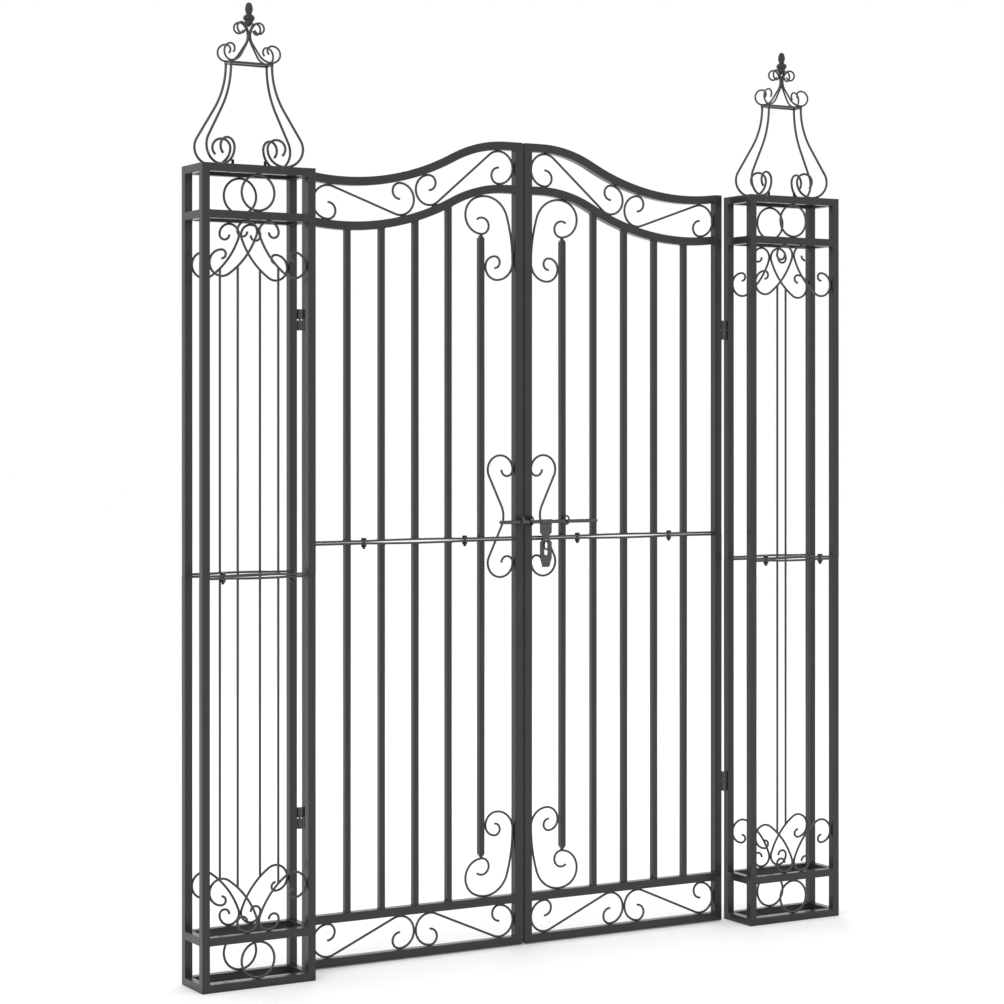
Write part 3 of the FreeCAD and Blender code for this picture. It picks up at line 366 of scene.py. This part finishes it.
def finishOf(name):
    for word, finish in finishByWord:
        if word in name:
            return finishes[finish]
    return finishes["frameCoat"]


def dressNodes():
    for name, piece in frame["nodes"].items():
        for slot in piece.material_slots:
            slot.material = finishOf(name)


dressNodes()
print("CAD nodes dressed:", len(frame["nodes"]))

# taking a CAD node apart into its solids

cutting = {
    "grid": 1e-5,            # corners are rounded to this
    "same": 2e-5,            # closer than this lies on the same plane
    "flatAngle": 0.3,        # degrees, faces flatter than this become one
    "sharpAngle": 0.8,       # radians, edges sharper than this are rounded
    "square": 0.3,           # how far a wall may lean and still count as lengthwise
    "plainCorners": 60,      # a straight tube has fewer corners than this
    "softCorners": 400,      # a solid with more corners is left as it is
}
bodyOf = {node: body for body, nodes in frame["record"]["behaviour"]["bodies"].items() for node in nodes}


def solidsOf(name):
    # a run of faces is one solid as soon as no edge is left open
    mesh = frame["nodes"][name].data
    spots = [tuple(round(part / cutting["grid"]) for part in vertex.co) for vertex in mesh.vertices]
    openEdges, run, solids = set(), [], []
    for face in mesh.polygons:
        loop = [spots[index] for index in face.vertices]
        run.append(loop)
        for pair in zip(loop, loop[1:] + loop[:1]):
            if pair[0] != pair[1]:
                openEdges ^= {frozenset(pair)}
        if not openEdges:
            solids.append(run)
            run = []
    return solids


def shapeOf(run):
    shape = bmesh.new()
    corners = {}
    for loop in run:
        for spot in loop:
            if spot not in corners:
                corners[spot] = shape.verts.new(Vector(spot) * cutting["grid"])
        if len(set(loop)) == 3:
            shape.faces.new([corners[spot] for spot in loop])
    bmesh.ops.dissolve_limit(shape, angle_limit=math.radians(cutting["flatAngle"]),
                             verts=shape.verts[:], edges=shape.edges[:])
    bmesh.ops.recalc_face_normals(shape, faces=shape.faces[:])
    return shape


def reachOf(points):
    return (Vector([min(point[axis] for point in points) for axis in range(3)]),
            Vector([max(point[axis] for point in points) for axis in range(3)]))


class Heap:
    # gathers the corners and faces of one piece
    def __init__(self):
        self.corners = []
        self.faces = []

    def add(self, corners, faces):
        start = len(self.corners)
        self.corners += [tuple(corner) for corner in corners]
        self.faces += [tuple(index + start for index in face) for face in faces]

    def addShape(self, shape):
        shape.verts.index_update()
        self.add([v.co for v in shape.verts], [[v.index for v in face.verts] for face in shape.faces])
        shape.free()


def makePiece(name, heap, body, finish, instead=(), sharpAbove=32, weighted=True):
    mesh = bpy.data.meshes.new(name)
    mesh.from_pydata(heap.corners, [], heap.faces)
    mesh.validate()
    mesh.materials.append(finishes[finish])
    for face in mesh.polygons:
        face.use_smooth = True
    mesh.set_sharp_from_angle(angle=math.radians(sharpAbove))
    piece = bpy.data.objects.new(name, mesh)
    bpy.context.collection.objects.link(piece)
    if weighted:
        evened = piece.modifiers.new("evened", "WEIGHTED_NORMAL")
        evened.keep_sharp = True
        bpy.context.view_layer.update()
        graph = bpy.context.evaluated_depsgraph_get()
        finished = bpy.data.meshes.new_from_object(piece.evaluated_get(graph), preserve_all_data_layers=True,
                                                   depsgraph=graph)
        piece.modifiers.clear()
        piece.data = finished
    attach(piece, body)
    if instead:
        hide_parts(*instead)
    return piece


# tubes and flats with rounded corners

rounding = {
    "tube": 0.0010,          # outer corner of the square tubes
    "bar": 0.0008,
    "plate": 0.0006,         # sheared edge of the flats
    "end": 0.0008,           # filed edge at a cut end
    "steps": 3,
}

softNodes = {
    "pillar_outer_posts": ("tube", "frameCoat", "frame_coat"),
    "pillar_inner_posts": ("tube", "frameCoat", "frame_coat"),
    "pillar_base_rails": ("tube", "frameCoat", "frame_coat"),
    "pillar_head_rails": ("tube", "frameCoat", "frame_coat"),
    "pillar_joint_flats": ("plate", "flatsCoat", "flats_coat"),
    "leaf_hinge_stile": ("tube", "frameCoat", "frame_coat"),
    "leaf_meeting_stile": ("tube", "frameCoat", "frame_coat"),
    "leaf_arched_rails": ("tube", "frameCoat", "frame_coat"),
    "leaf_base_rails": ("tube", "frameCoat", "frame_coat"),
    "leaf_bars": ("bar", "frameCoat", "frame_coat"),
    "leaf_pointed_bar": ("bar", "frameCoat", "frame_coat"),
    "leaf_joint_flats": ("plate", "flatsCoat", "flats_coat"),
}


def longAxis(low, high):
    return max(range(3), key=lambda axis: high[axis] - low[axis])


def planesOf(edge, low, high):
    # the sides of the solid's box that the whole edge lies on
    return [axis for axis in range(3) for level in (low[axis], high[axis])
            if all(abs(vertex.co[axis] - level) < cutting["same"] for vertex in edge.verts)]


def bevelled(shape, edges, reach, steps):
    bmesh.ops.bevel(shape, geom=edges, offset=reach, offset_type="OFFSET", segments=steps,
                    profile=0.5, affect="EDGES", clamp_overlap=False, loop_slide=True)


def soften(shape, reach):
    low, high = reachOf([vertex.co for vertex in shape.verts])
    along = longAxis(low, high)
    middle = (low + high) / 2
    lengthwise = []
    for edge in shape.edges:
        planes = planesOf(edge, low, high)
        outer = along not in planes and (len(planes) > 1 or 1 in planes)
        if outer and edge.calc_face_angle_signed(0) > cutting["sharpAngle"]:
            lengthwise.append(edge)
    bevelled(shape, lengthwise, reach, rounding["steps"])
    ends = []
    for edge in shape.edges:
        if along in planesOf(edge, low, high) and edge.calc_face_angle_signed(0) > cutting["sharpAngle"]:
            wall = min(edge.link_faces, key=lambda face: abs(face.normal[along]))
            spot = (edge.verts[0].co + edge.verts[1].co) / 2 - middle
            spot[along] = 0
            if wall.normal.dot(spot) > 0 and abs(wall.normal[along]) < cutting["square"]:
                ends.append(edge)
    bevelled(shape, ends, rounding["end"], 1)


# weld beads

weld = {
    "bead": 0.0013,          # thickness of a bead round a bar's end
    "railBead": 0.0010,
    "step": 0.0016,
    "ripple": 0.25,          # how uneven a bead is
    "tack": (0.0034, 0.0026, 0.0026),
    "tackUneven": 0.14,
    "tackApart": 0.012,      # contacts nearer than this share one tack
    "touch": 0.0005,
    "proud": 0.00008,        # how far a ground bead stands above its tube
    "around": 6,
    "sharpAbove": 60,
}


def endCorners(shape):
    # the four outer corners at each end of a straight tube
    low, high = reachOf([vertex.co for vertex in shape.verts])
    along = longAxis(low, high)
    across = [axis for axis in range(3) if axis != along]
    loops = []
    for pick in (min, max):
        loop = []
        for first, second in ((low, low), (high, low), (high, high), (low, high)):
            near = [vertex.co for vertex in shape.verts
                    if abs(vertex.co[across[0]] - first[across[0]]) < cutting["same"]
                    and abs(vertex.co[across[1]] - second[across[1]]) < cutting["same"]]
            if near:
                loop.append(pick(near, key=lambda spot: spot[along]).copy())
        if len(loop) == 4:
            loops.append(loop)
    return loops


def limitsOf(name):
    # beads are ground back to the outer faces of the frame that they sit in
    side = name.split("_")[0]
    uprights = ("_pillar_inner_posts", "_pillar_outer_posts")
    if "_leaf_" in name:
        uprights = ("_leaf_hinge_stile", "_leaf_meeting_stile")
    corners = [Vector(corner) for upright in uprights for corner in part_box(side + upright)]
    low, high = reachOf(corners)
    return low - Vector([weld["proud"]] * 3), high + Vector([weld["proud"]] * 3)


def addBead(heap, loop, thickness, limits):
    centre = sum(loop, Vector()) / 4
    spots = []
    for start, end in zip(loop, loop[1:] + loop[:1]):
        count = max(2, int((end - start).length / weld["step"]))
        spots += [start.lerp(end, index / count) for index in range(count)]
    axis = (loop[1] - loop[0]).cross(loop[2] - loop[1]).normalized()
    corners, faces, around = [], [], weld["around"]
    for spot in spots:
        outward = (spot - centre).normalized()
        size = thickness * (1 + random.uniform(-weld["ripple"], weld["ripple"]))
        for turn in range(around):
            angle = math.tau * turn / around
            corner = spot + size * (outward * math.cos(angle) + axis * math.sin(angle))
            corner = [min(max(value, limits[0][part]), limits[1][part]) for part, value in enumerate(corner)]
            corner[2] = max(corner[2], 0.0)
            corners.append(corner)
    count = len(spots)
    for index in range(count):
        for turn in range(around):
            here, after = index * around, (index + 1) % count * around
            other = (turn + 1) % around
            faces.append((here + turn, here + other, after + other, after + turn))
    heap.add(corners, faces)


beads = {}


def softenNodes():
    for name in sorted(frame["nodes"]):
        kind = next((word for word in softNodes if name.endswith(word)), None)
        if not kind:
            continue
        size, finish, slot = softNodes[kind]
        heap = Heap()
        for run in solidsOf(name):
            shape = shapeOf(run)
            if kind.endswith(("bars", "rails")) and len(shape.verts) < cutting["plainCorners"]:
                thickness = weld["bead"] if size == "bar" else weld["railBead"]
                for loop in endCorners(shape):
                    beads.setdefault(bodyOf[name], []).append((loop, thickness, limitsOf(name)))
            if len(shape.verts) < cutting["softCorners"]:
                soften(shape, rounding[size])
            heap.addShape(shape)
        makePiece("soft_" + name, heap, bodyOf[name], finish, (name,))


softenNodes()
print("tubes and flats rounded")


def addTack(heap, spot):
    lump = bmesh.new()
    bmesh.ops.create_icosphere(lump, subdivisions=2, radius=1)
    for vertex in lump.verts:
        swell = 1 + random.uniform(-weld["tackUneven"], weld["tackUneven"])
        for axis in range(3):
            vertex.co[axis] = spot[axis] + vertex.co[axis] * weld["tack"][axis] * swell
    heap.addShape(lump)


tackNodes = ("scrolls", "lyre_scroll", "pillar_rings")
frameNodes = ("posts", "rails", "stile", "bars", "bar")


def treeOf(name):
    mesh = frame["nodes"][name].data
    return BVHTree.FromPolygons([vertex.co.copy() for vertex in mesh.vertices],
                                [tuple(face.vertices) for face in mesh.polygons])


def touchSpots(name, trees):
    spots = []
    for vertex in frame["nodes"][name].data.vertices:
        for tree in trees:
            hit = tree.find_nearest(vertex.co, weld["touch"])
            if hit[0] is None:
                continue
            group = next((spot for spot in spots if (spot[0] - hit[0]).length < weld["tackApart"]), None)
            if group:
                group[1].append(hit[0].copy())
            else:
                spots.append((hit[0].copy(), [hit[0].copy()]))
    return [sum(group, Vector()) / len(group) for _, group in spots]


def makeWelds():
    heaps = {body: Heap() for body in beads}
    for body, loops in beads.items():
        for loop, thickness, limits in loops:
            addBead(heaps[body], loop, thickness, limits)
    for body, heap in heaps.items():
        stock = [name for name in sorted(bodyOf) if bodyOf[name] == body]
        trees = [treeOf(name) for name in stock if name.endswith(frameNodes)]
        for name in stock:
            if name.endswith(tackNodes):
                for spot in touchSpots(name, trees):
                    addTack(heap, spot)
        makePiece("welds_" + body, heap, body, "beadCoat", (), weld["sharpAbove"], False)


makeWelds()
print("welds laid")

# hexagon bolts and nuts

fastener = {
    "flats": 0.0065,         # half across the flats
    "shank": 0.004,
    "pitch": 0.00125,
    "depth": 0.00062,
    "chamfer": 0.0011,
    "around": 36,
    "shankAround": 20,
    "rim": 0.97,             # turned rim of a head, as a share of its flats
    "midCorner": 0.55,       # the corners halfway down the chamfer
    "midDrop": 0.45,
    "endTaper": 0.93,
    "firstTurn": 0.4,        # pitches before the first crest
    "lastTurns": 1.5,
    "shortest": 0.010,       # taller than this has a shank
    "headReach": 0.0068,     # beyond this from the axis is head or nut
    "atEnd": 1e-4,
    "sharpAbove": 28,
}


def addLathe(heap, middle, rings, around):
    # rings are (height, function of angle giving the radius)
    corners = []
    for height, radius in rings:
        for step in range(around):
            angle = math.tau * step / around
            wide = radius(angle)
            corners.append((middle[0] + wide * math.cos(angle), middle[1] + wide * math.sin(angle), height))
    faces = []
    for row in range(len(rings) - 1):
        for step in range(around):
            after = (step + 1) % around
            faces.append((row * around + step, row * around + after,
                          (row + 1) * around + after, (row + 1) * around + step))
    faces.append(tuple(reversed(range(around))))
    faces.append(tuple(range((len(rings) - 1) * around, len(rings) * around)))
    heap.add(corners, faces)


def hexReach(angle, turn):
    return fastener["flats"] / math.cos((angle - turn) % (math.pi / 3) - math.pi / 6)


def addHex(heap, middle, low, high, turn, ends):
    # ends says which of the two faces have their corners turned off
    drop = fastener["chamfer"]
    half = drop * fastener["midDrop"]
    rim = fastener["flats"] * fastener["rim"]

    def full(angle):
        return hexReach(angle, turn)

    def cut(angle):
        return min(full(angle), rim)

    def part(angle):
        return min(full(angle), rim + (full(angle) - rim) * fastener["midCorner"])

    rings = [(low, cut), (low + half, part), (low + drop, full)] if ends[0] else [(low, full)]
    rings += [(high - drop, full), (high - half, part), (high, cut)] if ends[1] else [(high, full)]
    addLathe(heap, middle, rings, fastener["around"])


def addShank(heap, middle, low, high):
    crest = fastener["shank"]
    root = crest - fastener["depth"]
    pitch = fastener["pitch"]

    def onCrest(angle):
        return crest

    def onRoot(angle):
        return root

    def tapered(angle):
        return root * fastener["endTaper"]

    rings = [(low, tapered)]
    height = low + pitch * fastener["firstTurn"]
    while height < high - pitch * fastener["lastTurns"]:
        rings += [(height, onCrest), (height + pitch / 2, onRoot)]
        height += pitch
    rings += [(height, onCrest), (high - pitch * fastener["firstTurn"], onCrest), (high, tapered)]
    addLathe(heap, middle, rings, fastener["shankAround"])


def makeBolts(name):
    heap = Heap()
    for run in solidsOf(name):
        points = [Vector(spot) * cutting["grid"] for loop in run for spot in loop]
        low, high = reachOf(points)
        middle = (low + high) / 2
        wide = [spot for spot in points
                if math.hypot(spot.x - middle.x, spot.y - middle.y) > fastener["headReach"]]
        hexLow, hexHigh = min(spot.z for spot in wide), max(spot.z for spot in wide)
        turn = math.atan2(wide[0].y - middle.y, wide[0].x - middle.x)
        shafted = high.z - low.z > fastener["shortest"]
        headLow = hexLow < low.z + fastener["atEnd"]
        headHigh = hexHigh > high.z - fastener["atEnd"]
        addHex(heap, middle, hexLow, hexHigh, turn, (headLow or not shafted, headHigh or not shafted))
        if shafted:
            ends = (hexHigh, high.z) if headLow else (low.z, hexLow)
            addShank(heap, middle, *ends)
    makePiece("turned_" + name, heap, bodyOf[name], "boltCoat", (name,),
              fastener["sharpAbove"], False)


for boltNode in sorted(frame["nodes"]):
    if boltNode.endswith("_bolts"):
        makeBolts(boltNode)
print("bolts and nuts made")
